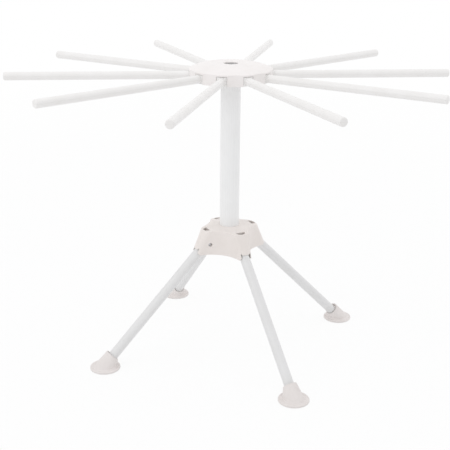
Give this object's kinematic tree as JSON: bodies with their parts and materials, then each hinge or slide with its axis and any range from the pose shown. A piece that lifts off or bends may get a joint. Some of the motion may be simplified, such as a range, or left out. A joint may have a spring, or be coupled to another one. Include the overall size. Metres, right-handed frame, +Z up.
{
  "type": "drying rack",
  "caption": "Folding tabletop drying rack: round rods spread from a domed hub on a tubular column, over splayed legs with soft round feet; rods and legs fold in.",
  "frame": {"origin": "on the floor under the column's axis, midway between the four feet", "axes": "+Z up along the column, +X out along rod_01, +Y to the left of rod_01 seen from above"},
  "size_m": [0.44, 0.4204, 0.3026],
  "materials": {
    "hub_plastic": "moulded, soft gloss",
    "rod_plastic": "moulded, soft gloss",
    "column_plastic": "drawn tube, glossy",
    "base_plastic": "moulded, satin",
    "leg_plastic": "moulded, soft gloss",
    "foot_rubber": "soft, matte",
    "pin_steel": "ground",
    "screw_steel": "plated"
  },
  "bodies": {
    "frame": {"hub_shell": "hub_plastic", "hub_plate": "hub_plastic", "hub_plate_screws": "screw_steel", "rod_pins": "pin_steel", "column": "column_plastic", "base_hub": "base_plastic", "leg_pins": "pin_steel"},
    "rod_01": {"rod_01": "rod_plastic"},
    "rod_02": {"rod_02": "rod_plastic"},
    "rod_03": {"rod_03": "rod_plastic"},
    "rod_04": {"rod_04": "rod_plastic"},
    "rod_05": {"rod_05": "rod_plastic"},
    "rod_06": {"rod_06": "rod_plastic"},
    "rod_07": {"rod_07": "rod_plastic"},
    "rod_08": {"rod_08": "rod_plastic"},
    "rod_09": {"rod_09": "rod_plastic"},
    "rod_10": {"rod_10": "rod_plastic"},
    "leg_1": {"leg_1": "leg_plastic", "foot_1": "foot_rubber"},
    "leg_2": {"leg_2": "leg_plastic", "foot_2": "foot_rubber"},
    "leg_3": {"leg_3": "leg_plastic", "foot_3": "foot_rubber"},
    "leg_4": {"leg_4": "leg_plastic", "foot_4": "foot_rubber"}
  },
  "joints": [
    {"name": "rod_01_fold", "type": "hinge", "parent": "frame", "child": "rod_01", "pos_m": [0.034, 0, 0.29106], "axis": [0, 1, 0], "range_deg": [0, 82]},
    {"name": "rod_02_fold", "type": "hinge", "parent": "frame", "child": "rod_02", "pos_m": [0.02751, 0.01998, 0.29106], "axis": [-0.5878, 0.809, 0], "range_deg": [0, 82]},
    {"name": "rod_03_fold", "type": "hinge", "parent": "frame", "child": "rod_03", "pos_m": [0.01051, 0.03234, 0.29106], "axis": [-0.9511, 0.309, 0], "range_deg": [0, 82]},
    {"name": "rod_04_fold", "type": "hinge", "parent": "frame", "child": "rod_04", "pos_m": [-0.01051, 0.03234, 0.29106], "axis": [-0.9511, -0.309, 0], "range_deg": [0, 82]},
    {"name": "rod_05_fold", "type": "hinge", "parent": "frame", "child": "rod_05", "pos_m": [-0.02751, 0.01998, 0.29106], "axis": [-0.5878, -0.809, 0], "range_deg": [0, 82]},
    {"name": "rod_06_fold", "type": "hinge", "parent": "frame", "child": "rod_06", "pos_m": [-0.034, 0, 0.29106], "axis": [0, -1, 0], "range_deg": [0, 82]},
    {"name": "rod_07_fold", "type": "hinge", "parent": "frame", "child": "rod_07", "pos_m": [-0.02751, -0.01998, 0.29106], "axis": [0.5878, -0.809, 0], "range_deg": [0, 82]},
    {"name": "rod_08_fold", "type": "hinge", "parent": "frame", "child": "rod_08", "pos_m": [-0.01051, -0.03234, 0.29106], "axis": [0.9511, -0.309, 0], "range_deg": [0, 82]},
    {"name": "rod_09_fold", "type": "hinge", "parent": "frame", "child": "rod_09", "pos_m": [0.01051, -0.03234, 0.29106], "axis": [0.9511, 0.309, 0], "range_deg": [0, 82]},
    {"name": "rod_10_fold", "type": "hinge", "parent": "frame", "child": "rod_10", "pos_m": [0.02751, -0.01998, 0.29106], "axis": [0.5878, 0.809, 0], "range_deg": [0, 82]},
    {"name": "leg_1_fold", "type": "hinge", "parent": "frame", "child": "leg_1", "pos_m": [0.02424, 0.0094, 0.11926], "axis": [-0.3616, 0.9323, 0], "range_deg": [0, 44.6]},
    {"name": "leg_2_fold", "type": "hinge", "parent": "frame", "child": "leg_2", "pos_m": [-0.0094, 0.02424, 0.11926], "axis": [-0.9323, -0.3616, 0], "range_deg": [0, 44.6]},
    {"name": "leg_3_fold", "type": "hinge", "parent": "frame", "child": "leg_3", "pos_m": [-0.02424, -0.0094, 0.11926], "axis": [0.3616, -0.9323, 0], "range_deg": [0, 44.6]},
    {"name": "leg_4_fold", "type": "hinge", "parent": "frame", "child": "leg_4", "pos_m": [0.0094, -0.02424, 0.11926], "axis": [0.9323, 0.3616, 0], "range_deg": [0, 44.6]}
  ]
}
